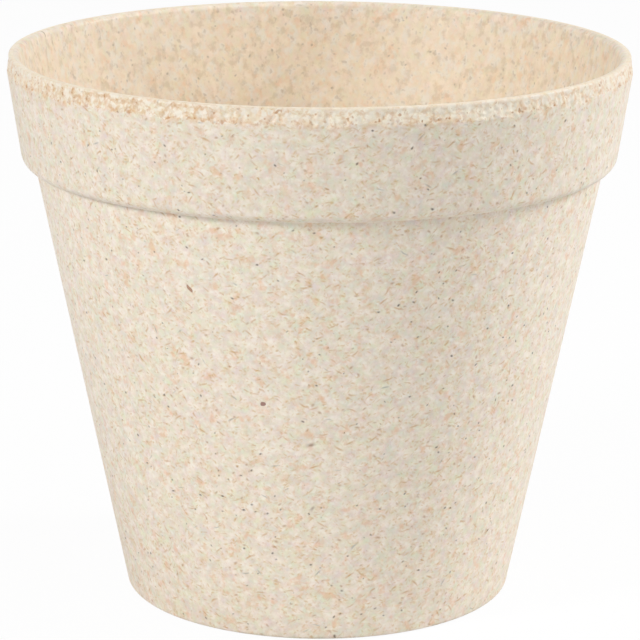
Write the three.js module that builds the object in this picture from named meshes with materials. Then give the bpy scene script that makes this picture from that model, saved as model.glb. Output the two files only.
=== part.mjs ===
// Flower pot, moulded in one piece from plant fibres and a binder.
// Millimetres, +Z up. The origin is the middle of the foot, on the surface the pot stands on.
// The pot is a body of revolution: a tapered wall, a thick collar round its mouth, a floor with
// one drain hole, and a shallow recess under the floor that leaves a foot ring. Its inside is one
// plain cone from the lip to the floor.

import * as THREE from 'three';

// Driving dimensions

const potHeight = 88.6;
const rimDiameter = 100;
const baseDiameter = 62.8;

// Thickness at the two ends of the inner cone: at the lip, and of the wall at the floor

const lipThickness = 1.5;
const wallThickness = 2.2;

const collarHeight = 17.8;
const collarDraftDegrees = 8.6;
const collarStep = 1.9;

// The sanded band is where the flash of the mould was taken off round the outside of the lip

const sandedBandHeight = 2.3;
const sandedBandInset = 0.4;

const floorThickness = 2.6;
const footWidth = 4;
const footHeight = 1.2;
const drainHoleDiameter = 12;

// Radii of the edge rounds, which give way where two of them would meet on a narrow face

const baseEdgeRound = 0.9;
const footInnerRound = 0.4;
const recessRound = 0.8;
const drainEdgeRound = 0.5;
const underCollarRound = 0.1;
const collarEdgeRound = 2.1;
const bandEdgeRound = 0.4;
const lipOuterRound = 0.35;
const lipInnerRound = 1;
const floorRound = 3;

// How finely the curves are cut into flats

const segmentsAround = 72;
const roundDeviation = 0.04;

// Radii, heights and slopes that follow from the driving dimensions

const rimRadius = rimDiameter / 2;
const baseRadius = baseDiameter / 2;
const drainRadius = drainHoleDiameter / 2;
const footInnerRadius = baseRadius - footWidth;

const bandBottom = potHeight - sandedBandHeight;
const collarUnderside = potHeight - collarHeight;
const floorTop = footHeight + floorThickness;

const collarSlope = Math.tan(THREE.MathUtils.degToRad(collarDraftDegrees));
const collarFootRadius = rimRadius - (bandBottom - collarUnderside) * collarSlope;
const wallTopRadius = collarFootRadius - collarStep;
const wallSlope = (wallTopRadius - baseRadius) / collarUnderside;

// The ends of the inner cone. Its foot is the outer face's radius at the floor, moved in by the
// wall's thickness, which is measured square to the face.

const lipRadius = rimRadius - sandedBandInset;
const mouthRadius = lipRadius - lipThickness;
const outerRadiusAtFloor = baseRadius + floorTop * wallSlope;
const floorRadius = outerRadiusAtFloor - wallThickness * Math.hypot(1, wallSlope);

// One sharp corner of the section, with the radius of the round that it gets

function corner(radius, z, round) {
  return { at: new THREE.Vector2(radius, z), round };
}

// The corners of the section, from the drain hole out under the foot, up the outside, over the
// lip and down the inside.

function sectionCorners() {
  return [
    corner(drainRadius, footHeight, drainEdgeRound),
    corner(footInnerRadius, footHeight, recessRound),
    corner(footInnerRadius, 0, footInnerRound),
    corner(baseRadius, 0, baseEdgeRound),
    corner(wallTopRadius, collarUnderside, underCollarRound),
    corner(collarFootRadius, collarUnderside, collarEdgeRound),
    corner(rimRadius, bandBottom, bandEdgeRound),
    corner(lipRadius, potHeight, lipOuterRound),
    corner(mouthRadius, potHeight, lipInnerRound),
    corner(floorRadius, floorTop, floorRound),
    corner(drainRadius, floorTop, drainEdgeRound),
  ];
}

// Adds to each corner the directions to its neighbours, the angle between them, and how far
// along its sides its round begins. Two rounds that want more than the side between them share
// it in proportion.

function measureCorners(corners) {
  const count = corners.length;
  const measured = corners.map(({ at, round }, index) => {
    const toBefore = corners[(index + count - 1) % count].at.clone().sub(at);
    const toAfter = corners[(index + 1) % count].at.clone().sub(at);
    const opening = toBefore.angleTo(toAfter);
    const wantedReach = round / Math.tan(opening / 2);
    return { at, toBefore, toAfter, opening, wantedReach };
  });
  const sideShare = measured.map(({ toAfter, wantedReach }, index) => {
    const wanted = wantedReach + measured[(index + 1) % count].wantedReach;
    return Math.min(1, (0.98 * toAfter.length()) / wanted);
  });
  return measured.map((place, index) => {
    const share = Math.min(sideShare[index], sideShare[(index + count - 1) % count]);
    return { ...place, reach: place.wantedReach * share };
  });
}

// Points of the arc that rounds one corner and touches both of its sides. There are enough of
// them to keep within the deviation from the true round.

function roundedCorner({ at, toBefore, toAfter, opening, reach }) {
  const start = at.clone().addScaledVector(toBefore, reach / toBefore.length());
  const end = at.clone().addScaledVector(toAfter, reach / toAfter.length());
  const radius = reach * Math.tan(opening / 2);
  const towardsCentre = start.clone().add(end).multiplyScalar(0.5).sub(at).normalize();
  const centre = at.clone().addScaledVector(towardsCentre, Math.hypot(radius, reach));

  const turnSide = Math.sign(start.clone().sub(centre).cross(end.clone().sub(centre)));
  const turn = turnSide * (Math.PI - opening);
  const widestStep = 2 * Math.acos(1 - Math.min(roundDeviation / radius, 1));
  const steps = Math.max(1, Math.ceil(Math.abs(turn) / widestStep));
  return Array.from({ length: steps + 1 }, (unused, step) => {
    return start.clone().rotateAround(centre, (turn * step) / steps);
  });
}

// The closed outline of the section, with every corner rounded

function potSection() {
  const outline = measureCorners(sectionCorners()).flatMap(roundedCorner);
  outline.push(outline[0].clone());
  return outline;
}

// The section turned once round the pot's axis, then stood up so that the axis is Z

function potShell() {
  const geometry = new THREE.LatheGeometry(potSection(), segmentsAround);
  geometry.rotateX(Math.PI / 2);
  const fibreComposite = new THREE.MeshStandardMaterial({
    color: '#e6dac6',
    roughness: 0.72,
    metalness: 0,
  });
  const mesh = new THREE.Mesh(geometry, fibreComposite);
  mesh.name = 'pot_shell';
  return mesh;
}

const flowerPot = new THREE.Group();
flowerPot.add(potShell());

export default flowerPot;
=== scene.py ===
import bpy
import numpy as np
from mathutils import Matrix, Vector


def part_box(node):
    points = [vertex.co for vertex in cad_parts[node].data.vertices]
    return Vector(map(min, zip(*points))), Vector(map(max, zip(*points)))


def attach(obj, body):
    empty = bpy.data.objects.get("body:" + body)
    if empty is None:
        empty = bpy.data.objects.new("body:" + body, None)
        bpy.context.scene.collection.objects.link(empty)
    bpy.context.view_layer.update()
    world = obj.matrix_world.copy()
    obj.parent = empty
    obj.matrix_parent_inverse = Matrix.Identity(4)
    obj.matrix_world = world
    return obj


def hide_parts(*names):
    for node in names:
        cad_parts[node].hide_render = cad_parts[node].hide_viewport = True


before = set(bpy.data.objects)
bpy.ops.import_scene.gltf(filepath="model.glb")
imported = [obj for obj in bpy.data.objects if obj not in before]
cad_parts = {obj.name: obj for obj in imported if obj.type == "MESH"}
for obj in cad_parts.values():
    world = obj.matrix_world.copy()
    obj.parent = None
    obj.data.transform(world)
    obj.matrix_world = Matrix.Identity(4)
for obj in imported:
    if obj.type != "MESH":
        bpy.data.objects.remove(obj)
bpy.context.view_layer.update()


# The moulded shell. The whole pot is one piece: tapered wall, thick collar, lip, floor, foot ring
# and drain hole, pressed from plant fibres and a binder in a two-part mould. Its outside is drawn
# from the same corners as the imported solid, in metres, with the true rounds of a turned mould.

pot_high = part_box("pot_shell")[1]
rim_radius = pot_high[0]
pot_height = pot_high[2]
base_radius = 0.0314
lip_thickness = 0.0015
wall_thickness = 0.0022

collar_height = 0.0178
collar_slope = np.tan(np.radians(8.6))
collar_step = 0.0019

trimmed_height = 0.0023
trimmed_inset = 0.0004

floor_thickness = 0.0026
foot_width = 0.004
foot_height = 0.0012
drain_radius = 0.006

band_bottom = pot_height - trimmed_height
collar_underside = pot_height - collar_height
collar_foot_radius = rim_radius - (band_bottom - collar_underside) * collar_slope
wall_top_radius = collar_foot_radius - collar_step
wall_slope = (wall_top_radius - base_radius) / collar_underside
floor_top = foot_height + floor_thickness
foot_inner_radius = base_radius - foot_width
lip_radius = rim_radius - trimmed_inset
floor_radius = base_radius + floor_top * wall_slope - wall_thickness * np.hypot(1, wall_slope)


def rounded_section(corners):
    """Closed outline through sharp corners (radius, height, round, rows). Each corner becomes the
    arc of its round that touches both sides, and rounds that meet on one side share it in
    proportion. Each arc gets its number of rows."""
    place, rounding = corners[:, :2], corners[:, 2]
    to_before = np.roll(place, 1, axis=0) - place
    to_after = np.roll(place, -1, axis=0) - place
    before_length = np.linalg.norm(to_before, axis=1)
    after_length = np.linalg.norm(to_after, axis=1)
    opening = np.arccos((to_before * to_after).sum(1) / before_length / after_length)
    reach = rounding / np.tan(opening / 2)
    share = np.minimum(1, 0.98 * after_length / (reach + np.roll(reach, -1)))
    reach = (reach * np.minimum(share, np.roll(share, 1)))[:, None]
    start = place + to_before / before_length[:, None] * reach
    end = place + to_after / after_length[:, None] * reach
    inward = start + end - 2 * place
    inward /= np.linalg.norm(inward, axis=1)[:, None]
    radius = reach * np.tan(opening / 2)[:, None]
    centre = place + inward * np.hypot(radius, reach)
    arm = start - centre
    far_arm = end - centre
    side = np.sign(arm[:, 0] * far_arm[:, 1] - arm[:, 1] * far_arm[:, 0])
    turn = side * (np.pi - opening)
    corner = np.repeat(np.arange(len(corners)), corners[:, 3].astype(int))
    step = np.concatenate([np.linspace(0, 1, int(rows)) for rows in corners[:, 3]])
    angle = turn[corner] * step
    arc_radius = centre[corner, 0] + arm[corner, 0] * np.cos(angle) - arm[corner, 1] * np.sin(angle)
    arc_height = centre[corner, 1] + arm[corner, 0] * np.sin(angle) + arm[corner, 1] * np.cos(angle)
    return np.stack([arc_radius, arc_height], axis=1)


section = rounded_section(np.array([
    [drain_radius, foot_height, 0.0005, 4],              # drain hole, lower edge
    [foot_inner_radius, foot_height, 0.0008, 5],         # recess under the floor
    [foot_inner_radius, 0, 0.0004, 4],                   # foot ring, inner edge
    [base_radius, 0, 0.0009, 6],                         # foot ring, outer edge
    [wall_top_radius, collar_underside, 0.0001, 2],      # corner under the collar
    [collar_foot_radius, collar_underside, 0.0021, 9],   # lower edge of the collar
    [rim_radius, band_bottom, 0.0004, 3],                # lower edge of the trimmed band
    [lip_radius, pot_height, 0.00035, 5],                # lip, outer edge
    [lip_radius - lip_thickness, pot_height, 0.001, 7],  # lip, inner edge
    [floor_radius, floor_top, 0.003, 7],                 # foot of the inside
    [drain_radius, floor_top, 0.0005, 4],                # drain hole, upper edge
]))

# More rows where the trimming cut the rim

trim_row_step = 0.00014
top_row = np.argmax(section[:, 1])
collar_face = section[:top_row]
collar_face = collar_face[collar_face[:, 1] > collar_underside + 0.001]
trim_height = np.arange(band_bottom - 0.0012, pot_height - 0.0004, trim_row_step)
trim_radius = np.interp(trim_height, collar_face[:, 1], collar_face[:, 0])
trim_rows = np.stack([trim_radius, trim_height], axis=1)
before_trim = np.count_nonzero(section[:top_row, 1] < trim_height[0])
after_trim = np.argmax(section[:, 1] > trim_height[-1])
rows = np.concatenate([section[:before_trim], trim_rows, section[after_trim:]])
row_step = np.linalg.norm(np.diff(rows, axis=0), axis=1)
row_length = np.concatenate([[0], np.cumsum(row_step)])


def ripples(angle, along, shortest, longest, seed, waves=60):
    """Random relief that closes round the pot: a sum of sine waves of random heading, each with a
    whole number of waves round the rim and a length between the two given, in metres."""
    rng = np.random.default_rng(seed)
    length = np.exp(rng.uniform(np.log(shortest), np.log(longest), waves))
    heading = rng.uniform(0, np.pi, waves)
    round_count = np.round(2 * np.pi * rim_radius * np.cos(heading) / length)
    climb = 2 * np.pi * np.sin(heading) / length
    phase = rng.uniform(0, 2 * np.pi, waves)
    total = np.zeros(np.broadcast(angle, along).shape)
    for turns, rate, start in zip(round_count, climb, phase):
        total += np.sin(turns * angle + rate * along + start)
    return total * np.sqrt(2 / waves)


def smooth_step(value, low, high):
    """0 below low, 1 above high, and the curve 3t² - 2t³ between."""
    t = np.clip((value - low) / (high - low), 0, 1)
    return t * t * (3 - 2 * t)


around_count = 1296
angle = np.linspace(0, 2 * np.pi, around_count, endpoint=False)[None, :]
radius = np.repeat(rows[:, :1], around_count, axis=1)
height = np.repeat(rows[:, 1:], around_count, axis=1)
along = row_length[:, None]

# The trimmed band. Flash was sanded off round the lip, which left a facet with an uneven lower
# edge: there the facet starts lower and its face is pitted by torn fibres.

mean_edge_drop = 0.00022
deepest_edge_drop = 0.0009
pit_depth = 0.00008

outside = radius > rim_radius - 0.0012
edge_drop = mean_edge_drop * (1 + ripples(angle, 0, 0.003, 0.02, seed=3)
                              + 0.7 * ripples(angle, 0, 0.0007, 0.002, seed=4))
edge_height = band_bottom - np.clip(edge_drop, 0, deepest_edge_drop)
above_edge = np.where(outside, height - edge_height, -0.01)
facet_slope = collar_slope + trimmed_inset / trimmed_height
lip_fade = 1 - smooth_step(height, pot_height - 0.0011, pot_height - 0.0003)
cut = facet_slope * np.clip(np.minimum(height, band_bottom) - edge_height, 0, None)
pits = np.abs(ripples(angle, along, 0.0009, 0.003, seed=5))
cut += pit_depth * pits * smooth_step(above_edge, -0.0002, 0.0002)
radius -= np.where(outside, cut * lip_fade, 0)


def closed_ring_mesh(name, radius, height, angle):
    """A closed skin through a grid of rows and columns that joins up both ways, facing out. Each
    point's normal is the sum of the cross products of the diagonals of its four faces, so that
    wide faces stay flat beside narrow rounds."""
    points = np.stack([radius * np.sin(angle), -radius * np.cos(angle), height], axis=-1)
    next_column = np.roll(points, -1, axis=1)
    next_row = np.roll(points, -1, axis=0)
    opposite = np.roll(next_row, -1, axis=1)
    face_normal = np.cross(opposite - points, next_row - next_column)
    normal = face_normal + np.roll(face_normal, 1, axis=0)
    normal += np.roll(normal, 1, axis=1)
    normal /= np.linalg.norm(normal, axis=-1, keepdims=True)
    index = np.arange(radius.size).reshape(radius.shape)
    beside = np.roll(index, -1, axis=1)
    above = np.roll(index, -1, axis=0)
    across = np.roll(beside, -1, axis=0)
    faces = np.stack([index, beside, across, above], axis=-1).reshape(-1, 4)
    mesh = bpy.data.meshes.new(name)
    mesh.from_pydata(points.reshape(-1, 3), [], faces)
    mesh.polygons.foreach_set("use_smooth", np.ones(len(mesh.polygons), dtype=bool))
    mesh.normals_split_custom_set_from_vertices(normal.reshape(-1, 3))
    return mesh


pot_mesh = closed_ring_mesh("moulded_pot", radius, height, angle)

# Two lengths that the material reads at each point, in millimetres: up from the uneven edge of
# the trimmed band, and along the section from the corner under the collar

corner_row = np.argmin(np.hypot(rows[:, 0] - wall_top_radius, rows[:, 1] - collar_underside))
past_corner = (along - row_length[corner_row]) * 1000 + 0 * angle
lip_mm = past_corner[np.argmax(rows[:, 1]), 0]
for name, length in (("above_trim_edge", above_edge * 1000), ("past_collar_corner", past_corner)):
    attribute = pot_mesh.attributes.new(name, "FLOAT", "POINT")
    attribute.data.foreach_set("value", length.astype(np.float32).ravel())

moulded_pot = bpy.data.objects.new("moulded_pot", pot_mesh)
bpy.context.scene.collection.objects.link(moulded_pot)
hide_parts("pot_shell")
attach(moulded_pot, "root")


# The composite. Ground bamboo and husk in a cream binder, hot-pressed against polished steel:
# a smooth matt skin in which pale pulp, tan fibres and dark husk lie flat and point every way.
# Lengths in this material are in millimetres, as the fibres are measured.

def linear(hex_colour):
    """An sRGB hex colour as linear red, green, blue and alpha."""
    value = np.array([int(hex_colour[k:k + 2], 16) for k in (1, 3, 5)]) / 255
    value = np.where(value <= 0.04045, value / 12.92, ((value + 0.055) / 1.055) ** 2.4)
    return (*value, 1.0)


def add_node(tree, kind, links=None, values=None, **settings):
    """Adds one node with its settings, fixed input values and links from other sockets."""
    node = tree.nodes.new(kind)
    for setting, value in settings.items():
        setattr(node, setting, value)
    for socket, value in (values or {}).items():
        node.inputs[socket].default_value = value
    for socket, source in (links or {}).items():
        tree.links.new(source, node.inputs[socket])
    return node


composite = bpy.data.materials.new("moulded_plant_fibre_composite")
composite.use_nodes = True
tree = composite.node_tree
tree.nodes.clear()

coordinates = add_node(tree, "ShaderNodeTexCoord")
millimetres = add_node(
    tree, "ShaderNodeVectorMath", {0: coordinates.outputs["Object"]},
    {1: (1000, 1000, 1000), 2: (0, 0, -1000 * pot_height)}, operation="MULTIPLY_ADD").outputs[0]
surface_normal = coordinates.outputs["Normal"]

above_edge_mm, past_corner_mm = (
    add_node(tree, "ShaderNodeAttribute", attribute_name=name).outputs["Fac"]
    for name in ("above_trim_edge", "past_collar_corner"))

# The core of the mould slid along the inside as it was drawn out, which smeared the pulp there:
# heights are shortened past the lip, so that every cloud comes out longer down the wall

inside = add_node(
    tree, "ShaderNodeMapRange", {"Value": past_corner_mm},
    {"From Min": lip_mm + 0.1, "From Max": lip_mm + 1.5},
    interpolation_type="SMOOTHSTEP").outputs[0]
shortening = add_node(
    tree, "ShaderNodeMapRange", {"Value": inside}, {"To Min": 1, "To Max": 0.85}).outputs[0]
shortening = add_node(
    tree, "ShaderNodeCombineXYZ", {"Z": shortening}, {"X": 1, "Y": 1}).outputs[0]
place = add_node(
    tree, "ShaderNodeVectorMath", {0: millimetres, 1: shortening},
    operation="MULTIPLY").outputs[0]

# A slow noise shifts places by up to 0.35 mm, which bends the longer fibres

bend = add_node(tree, "ShaderNodeTexNoise", {"Vector": place}, {"Scale": 0.6, "Detail": 1})
centred_bend = add_node(
    tree, "ShaderNodeVectorMath", {0: bend.outputs["Color"]}, {1: (0.5, 0.5, 0.5)},
    operation="SUBTRACT").outputs[0]
bent_place = add_node(
    tree, "ShaderNodeVectorMath", {0: centred_bend, 2: place}, {1: (0.7, 0.7, 0.7)},
    operation="MULTIPLY_ADD").outputs[0]


def clouds(size, low, high, detail=2):
    """A mask of clouds about one size, where noise rises from the low to the high value."""
    noise = add_node(
        tree, "ShaderNodeTexNoise", {"Vector": place},
        {"Scale": 1 / size, "Detail": detail, "Roughness": 0.6})
    return add_node(
        tree, "ShaderNodeMapRange", {"Value": noise.outputs["Fac"]},
        {"From Min": low, "From Max": high}, interpolation_type="SMOOTHSTEP").outputs[0]


def fibres(spacing, length, width, share, offset):
    """Where fibres of one kind lie. Space is cut into cells about one spacing wide, and each has
    one fibre that lies in the surface with a random heading. A fibre is where the distance from
    the cell's point, along and across that heading, is under half its length and half its width;
    only the given share of the cells has one, and the shorter ones are also fainter. The offset
    moves the cells of one kind away from those of the others."""
    moved = add_node(
        tree, "ShaderNodeVectorMath", {0: bent_place}, {1: (offset, offset * 2, offset * 3)},
        operation="ADD").outputs[0]
    cells = add_node(
        tree, "ShaderNodeTexVoronoi", {"Vector": moved}, {"Scale": 1 / spacing})
    away = add_node(
        tree, "ShaderNodeVectorMath", {0: moved, 1: cells.outputs["Position"]},
        operation="SUBTRACT").outputs[0]
    dice = add_node(
        tree, "ShaderNodeTexWhiteNoise", {"Vector": cells.outputs["Position"]})
    random_arrow = add_node(
        tree, "ShaderNodeVectorMath", {0: dice.outputs["Color"]}, {1: (0.5, 0.5, 0.5)},
        operation="SUBTRACT").outputs[0]
    sideways = add_node(
        tree, "ShaderNodeVectorMath", {0: random_arrow, 1: surface_normal},
        operation="CROSS_PRODUCT").outputs[0]
    sideways = add_node(
        tree, "ShaderNodeVectorMath", {0: sideways}, operation="NORMALIZE").outputs[0]
    heading = add_node(
        tree, "ShaderNodeVectorMath", {0: sideways, 1: surface_normal},
        operation="CROSS_PRODUCT").outputs[0]
    size = add_node(
        tree, "ShaderNodeMapRange", {"Value": dice.outputs["Value"]},
        {"From Min": share, "From Max": 0, "To Min": 0, "To Max": 1.3}).outputs[0]
    mask = size
    for arrow, half in ((heading, length / 2), (sideways, width / 2)):
        distance = add_node(
            tree, "ShaderNodeVectorMath", {0: away, 1: arrow}, operation="DOT_PRODUCT").outputs[1]
        distance = add_node(
            tree, "ShaderNodeMath", {0: distance}, operation="ABSOLUTE").outputs[0]
        reach = add_node(
            tree, "ShaderNodeMath", {0: size}, {1: half, 2: half * 0.5},
            operation="MULTIPLY_ADD").outputs[0]
        part = add_node(
            tree, "ShaderNodeMapRange", {"Value": distance, "From Min": reach},
            {"From Max": 0}, interpolation_type="SMOOTHSTEP").outputs[0]
        mask = add_node(
            tree, "ShaderNodeMath", {0: mask, 1: part}, operation="MULTIPLY").outputs[0]
    return mask


def stain(colour, hex_colour, strength, *masks):
    """The colour so far, turned towards another by a strength times the masks."""
    share = masks[0]
    for mask in masks[1:]:
        share = add_node(
            tree, "ShaderNodeMath", {0: share, 1: mask}, operation="MULTIPLY").outputs[0]
    share = add_node(
        tree, "ShaderNodeMath", {0: share}, {1: strength}, operation="MULTIPLY").outputs[0]
    return add_node(
        tree, "ShaderNodeMix", {0: share, 6: colour}, {7: linear(hex_colour)},
        data_type="RGBA").outputs[2]


# Pulp and binder: cream times 1 ± half the hue spread, channel by channel, then pale clumps of
# pulp and peach and salmon ones of bamboo

cream = np.array(linear("#eadecc")[:3])
hue_spread = 0.32
hue = add_node(
    tree, "ShaderNodeTexNoise", {"Vector": place},
    {"Scale": 1 / 1.6, "Detail": 2, "Roughness": 0.6}).outputs["Color"]
colour = add_node(
    tree, "ShaderNodeVectorMath", {0: hue},
    {1: tuple(cream * hue_spread), 2: tuple(cream * (1 - hue_spread / 2))},
    operation="MULTIPLY_ADD").outputs[0]
colour = stain(colour, "#f6f0e4", 0.60, clouds(1.6, 0.46, 0.72))
colour = stain(colour, "#dfb98c", 0.34, clouds(1.4, 0.52, 0.69, detail=3))
colour = stain(colour, "#e8b68c", 0.52, clouds(1.9, 0.55, 0.74))
ground = colour

# Fine grain, which multiplies the colour by 0.81 to 1.18, and tan dust between the clumps

grain = add_node(
    tree, "ShaderNodeTexNoise", {"Vector": place},
    {"Scale": 1 / 1.3, "Detail": 7, "Roughness": 0.85}).outputs["Fac"]
grain = add_node(
    tree, "ShaderNodeVectorMath", {0: grain}, {1: (0.37, 0.37, 0.37), 2: (0.81, 0.81, 0.81)},
    operation="MULTIPLY_ADD").outputs[0]
colour = add_node(
    tree, "ShaderNodeVectorMath", {0: colour, 1: grain}, operation="MULTIPLY").outputs[0]
colour = stain(colour, "#c99a68", 0.40, clouds(0.6, 0.54, 0.72, detail=3), clouds(2.6, 0.40, 0.60))

# Fibres. Each kind has its colour and strength, then spacing, length and width, the share of
# cells that hold one, and the offset.

for fibre_colour, strength, *kind in (
        ("#faf6ec", 0.40, 0.9, 1.0, 0.50, 0.70, 11),   # pale pulp
        ("#d0aa60", 0.46, 0.7, 0.7, 0.28, 0.60, 23),   # short straw
        ("#c5944c", 0.52, 1.7, 1.4, 0.27, 0.36, 37),   # long tan bamboo
        ("#ac7b44", 0.50, 1.5, 0.6, 0.34, 0.24, 41),   # brown chips
        ("#85898a", 0.45, 2.8, 1.2, 0.24, 0.12, 53)):  # weathered grey
    colour = stain(colour, fibre_colour, strength, fibres(*kind))

# The inside, where the core of the mould smeared the pulp: four fifths of the grain and fibres are
# lost in a cleaner, brighter ground that warms past the lip, and broad soft clouds cross it

smeared = add_node(
    tree, "ShaderNodeMath", {0: inside}, {1: 0.80}, operation="MULTIPLY").outputs[0]
clean_ground = add_node(
    tree, "ShaderNodeVectorMath", {0: ground}, {1: (1.15, 1.12, 1.08)},
    operation="MULTIPLY").outputs[0]
colour = add_node(
    tree, "ShaderNodeMix", {0: smeared, 6: colour, 7: clean_ground}, data_type="RGBA").outputs[2]
past_lip = add_node(
    tree, "ShaderNodeMapRange", {"Value": past_corner_mm},
    {"From Min": lip_mm + 0.5, "From Max": lip_mm + 5}, interpolation_type="SMOOTHSTEP").outputs[0]
colour = stain(colour, "#f7e4c8", 0.42, past_lip)
colour = stain(colour, "#f4f3ec", 0.46, inside, clouds(1.8, 0.48, 0.66))
colour = stain(colour, "#c2ab88", 0.32, inside, clouds(1.5, 0.49, 0.68, detail=3))
colour = stain(colour, "#a5845e", 0.30, inside, clouds(0.9, 0.62, 0.76, detail=1))

# Husk: small dark specks, fainter inside, and a few flakes over a millimetre long

speck_strength = add_node(
    tree, "ShaderNodeMapRange", {"Value": inside}, {"To Min": 0.78, "To Max": 0.34}).outputs[0]
colour = stain(colour, "#54453b", 1.0, speck_strength, fibres(1.9, 0.42, 0.30, 0.22, offset=61))
colour = stain(colour, "#6f4634", 0.85, fibres(12.0, 1.5, 0.75, 0.04, offset=73))

# Two of the flakes lie on the front of the wall: each is an ellipsoid that cuts the skin, given by
# its angle round the pot and height in millimetres, the lean of its length, and half its sizes

for flake_angle, flake_height, lean, half_length, half_width, husk in (
        (-26.7, 58.9, 54, 0.92, 0.36, "#a87c62"), (-12.2, 40.85, -30, 0.52, 0.45, "#946a5e")):
    turn = np.radians(flake_angle)
    wall_radius = base_radius * 1000 + flake_height * wall_slope
    middle = (wall_radius * np.sin(turn), -wall_radius * np.cos(turn),
              flake_height - pot_height * 1000)
    flake_place = add_node(
        tree, "ShaderNodeMapping", {"Vector": bent_place},
        {"Location": middle, "Rotation": (0, np.radians(lean), turn),
         "Scale": (half_length, 1.0, half_width)}, vector_type="TEXTURE").outputs[0]
    flake = add_node(
        tree, "ShaderNodeTexGradient", {"Vector": flake_place}, gradient_type="SPHERICAL")
    flake = add_node(
        tree, "ShaderNodeMapRange", {"Value": flake.outputs["Fac"]}, {"From Max": 0.3},
        interpolation_type="SMOOTHSTEP").outputs[0]
    colour = stain(colour, husk, 0.92, flake)

# The trimmed band: sanding opened the skin into pale clumps of pulp, with tan dust between them and
# brown fibres torn out, most of all along the lower edge. The band is painted paler a little right
# of the front, a painted highlight, and darker to the left of it, a painted shade.

past_edge, below_lip, near_edge, low_edge, dust_edge, below_edge = (
    add_node(
        tree, "ShaderNodeMapRange", {"Value": above_edge_mm}, {"From Min": low, "From Max": high},
        interpolation_type="SMOOTHSTEP").outputs[0]
    for low, high in ((-0.1, 0.15), (2.3, 2.0), (1.1, 0.2), (-0.3, 0.0), (-0.9, -0.1), (0.1, -0.4)))
clump_shift = add_node(
    tree, "ShaderNodeTexNoise", {"Vector": place},
    {"Scale": 1 / 0.9, "Detail": 2, "Roughness": 0.6}).outputs["Color"]
clump_place = add_node(
    tree, "ShaderNodeVectorMath", {0: clump_shift, 2: bent_place}, {1: (1.9, 1.9, 1.9)},
    operation="MULTIPLY_ADD").outputs[0]
clump_edge = add_node(
    tree, "ShaderNodeTexVoronoi", {"Vector": clump_place}, {"Scale": 1 / 1.7},
    feature="DISTANCE_TO_EDGE").outputs["Distance"]
joint, clump = (
    add_node(
        tree, "ShaderNodeMapRange", {"Value": clump_edge}, {"From Min": low, "From Max": high},
        interpolation_type="SMOOTHSTEP").outputs[0]
    for low, high in ((0.20, 0.0), (0.05, 0.24)))
colour = stain(colour, "#ebd6b6", 0.40, past_edge)
colour = stain(colour, "#f4f0e6", 0.46, past_edge, clump)
# Painted light on the band: a painted highlight a little right of the front and painted shade to
# the left of it
for painted_light_angle, painted_light_colour, strength in ((16, "#fff8e4", 0.70), (-37, "#cca472", 0.56)):
    turn = np.radians(painted_light_angle)
    facing = add_node(
        tree, "ShaderNodeVectorMath", {0: millimetres}, {1: (np.sin(turn), -np.cos(turn), 0)},
        operation="DOT_PRODUCT").outputs["Value"]
    facing = add_node(
        tree, "ShaderNodeMapRange", {"Value": facing}, {"From Min": 44.5, "From Max": 49},
        interpolation_type="SMOOTHSTEP").outputs[0]
    colour = stain(
        colour, painted_light_colour, strength, past_edge, below_lip, facing, clouds(0.9, 0.42, 0.62))
colour = stain(colour, "#cd985f", 0.34, past_edge, below_lip, joint, clouds(1.6, 0.44, 0.62))
colour = stain(colour, "#dcb07c", 0.38, near_edge, dust_edge, clouds(1.8, 0.48, 0.62, detail=3))
colour = stain(colour, "#ad733b", 0.66, past_edge, below_lip, clouds(0.9, 0.64, 0.74, detail=1))
colour = stain(colour, "#b0723e", 0.44, near_edge, low_edge, clouds(0.8, 0.52, 0.66, detail=3))

# The rounded lip above the band is clean and a little yellow, and the same stain paints a highlight
# along the lip

lip_start, lip_end = (
    add_node(
        tree, "ShaderNodeMapRange", {"Value": past_corner_mm}, {"From Min": low, "From Max": high},
        interpolation_type="SMOOTHSTEP").outputs[0]
    for low, high in ((lip_mm - 0.35, lip_mm - 0.1), (lip_mm + 1.2, lip_mm + 0.1)))
# Partly the lip's own yellow tint, partly a painted highlight along the lip
colour = stain(colour, "#ffecc4", 0.26, lip_start, lip_end)

# The round under the collar and the wall just below its corner carry painted shade, darkest in the
# crease and fading out up to 2 mm from the corner, and the collar's face is a shade darker than the
# wall

crease_painted_shade, low_on_collar, on_collar = (
    add_node(
        tree, "ShaderNodeMapRange", {"Value": past_corner_mm}, {"From Min": low, "From Max": high},
        interpolation_type="SMOOTHSTEP").outputs[0]
    for low, high in ((-1.4, 0.3), (2.7, 1.5), (0.0, 1.5)))
# Painted shade: the crease under the collar is darkened in the colour itself
colour = stain(colour, "#51473d", 0.12, crease_painted_shade, low_on_collar)
colour = stain(colour, "#8d7a62", 0.05, on_collar, below_edge)

finish = add_node(
    tree, "ShaderNodeBsdfPrincipled", {"Base Color": colour},
    {"Roughness": 0.5, "IOR": 1.5, "Metallic": 0, "Sheen Weight": 0.12, "Sheen Roughness": 0.5})
add_node(tree, "ShaderNodeOutputMaterial", {"Surface": finish.outputs[0]})
pot_mesh.materials.append(composite)


# The table and the room. A wide pale sheet runs out under the pot and past the camera's view; it
# reads as white where it is lit and keeps the pot's soft shadow.

sheet_half_width = 2.0
sheet_mesh = bpy.data.meshes.new("paper_sheet")
sheet_mesh.from_pydata(
    [(-sheet_half_width, -sheet_half_width, 0), (sheet_half_width, -sheet_half_width, 0),
     (sheet_half_width, sheet_half_width, 0), (-sheet_half_width, sheet_half_width, 0)],
    [], [(0, 1, 2, 3)])
paper_sheet = bpy.data.objects.new("paper_sheet", sheet_mesh)
bpy.context.scene.collection.objects.link(paper_sheet)

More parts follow.
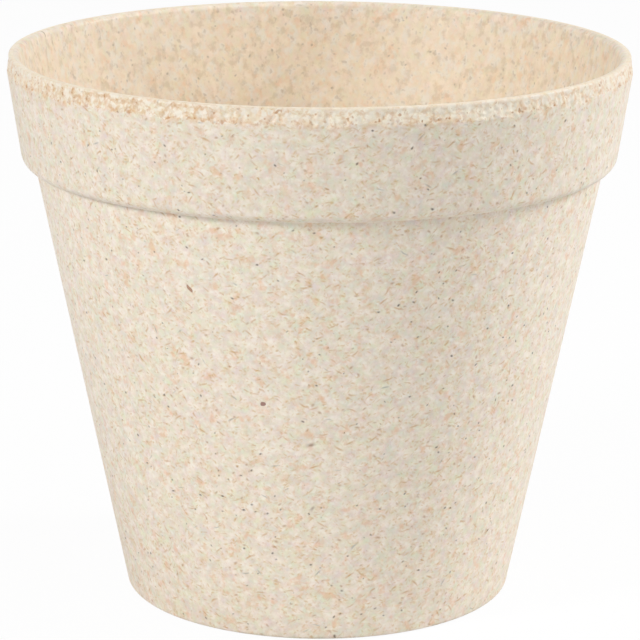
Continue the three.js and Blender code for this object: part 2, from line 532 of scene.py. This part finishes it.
paper = bpy.data.materials.new("white_background_paper")
paper.use_nodes = True
paper_tree = paper.node_tree
paper_tree.nodes.clear()
paper_face = add_node(
    paper_tree, "ShaderNodeBsdfDiffuse", values={"Color": (0.93, 0.93, 0.93, 1)})
rays = add_node(paper_tree, "ShaderNodeLightPath")
seen = add_node(
    paper_tree, "ShaderNodeMath", {0: rays.outputs["Is Camera Ray"]}, {1: 0.95},
    operation="MULTIPLY")
white = add_node(
    paper_tree, "ShaderNodeEmission", values={"Color": (1, 1, 1, 1), "Strength": 1.0})
paper_look = add_node(
    paper_tree, "ShaderNodeMixShader",
    {0: seen.outputs[0], 1: paper_face.outputs[0], 2: white.outputs[0]})
add_node(paper_tree, "ShaderNodeOutputMaterial", {"Surface": paper_look.outputs[0]})
sheet_mesh.materials.append(paper)

# The room's walls are white to the eye and in gloss, and light the pot more softly than that

room_light = 0.374
room = bpy.data.worlds.new("white_room")
bpy.context.scene.world = room
room.use_nodes = True
room_tree = room.node_tree
room_tree.nodes.clear()
room_rays = add_node(room_tree, "ShaderNodeLightPath")
direct = add_node(
    room_tree, "ShaderNodeMath",
    {0: room_rays.outputs["Is Camera Ray"], 1: room_rays.outputs["Is Glossy Ray"]},
    operation="MAXIMUM")
direct = add_node(
    room_tree, "ShaderNodeMath",
    {0: direct.outputs[0], 1: room_rays.outputs["Is Transmission Ray"]}, operation="MAXIMUM")
room_strength = add_node(
    room_tree, "ShaderNodeMapRange", {"Value": direct.outputs[0]},
    {"To Min": room_light, "To Max": 1.0})
walls = add_node(
    room_tree, "ShaderNodeBackground", {"Strength": room_strength.outputs[0]},
    {"Color": (1, 1, 1, 1)})
add_node(room_tree, "ShaderNodeOutputWorld", {"Surface": walls.outputs[0]})


# Studio light. A small soft box stands to the left and a second at the right side, so that the
# pot is darkest a little right of its middle; a wide one high in front lights the lip.

def soft_box(name, azimuth, elevation, distance, size, level):
    """A square lamp that looks at the pot. Its power gives a facing white surface at the pot the
    given share of full brightness: power = level x pi² x distance²."""
    turn, lift = np.radians(azimuth), np.radians(elevation)
    back = np.array([np.sin(turn) * np.cos(lift), -np.cos(turn) * np.cos(lift), np.sin(lift)])
    lamp = bpy.data.lights.new(name, "AREA")
    lamp.size = size
    lamp.energy = level * np.pi ** 2 * distance ** 2
    box = bpy.data.objects.new(name, lamp)
    middle = np.array([0, 0, pot_height / 2])
    box.location = middle + back * distance
    box.rotation_mode = "XYZ"
    box.rotation_euler = (np.pi / 2 - lift, 0, turn)
    bpy.context.scene.collection.objects.link(box)


soft_box("left_soft_box", azimuth=-52, elevation=30, distance=0.9, size=0.2, level=0.450)
soft_box("right_soft_box", azimuth=100, elevation=30, distance=0.9, size=0.2, level=0.500)
soft_box("high_front_soft_box", azimuth=40, elevation=62, distance=0.9, size=0.5, level=0.122)


# Camera. A long lens half a metre from the pot, found from the pot's outline in the picture.

camera_place = (0, -0.50055, 0.17579)
camera_aim = (0.00023, 0, 0.04385)
camera_roll = np.radians(0.296)
lens_pixels = 3164.4
frame_pixels = 640
sensor_width = 36

lens = bpy.data.cameras.new("camera")
lens.sensor_width = sensor_width
lens.lens = lens_pixels / frame_pixels * sensor_width
lens.clip_start = 0.01
lens.clip_end = 20
camera = bpy.data.objects.new("camera", lens)
bpy.context.scene.collection.objects.link(camera)
look = (Vector(camera_aim) - Vector(camera_place)).to_track_quat("-Z", "Y").to_matrix()
look = look @ Matrix.Rotation(camera_roll, 3, "Z")
camera.matrix_world = Matrix.Translation(camera_place) @ look.to_4x4()
bpy.context.scene.camera = camera
bpy.context.scene.view_settings.view_transform = "Standard"
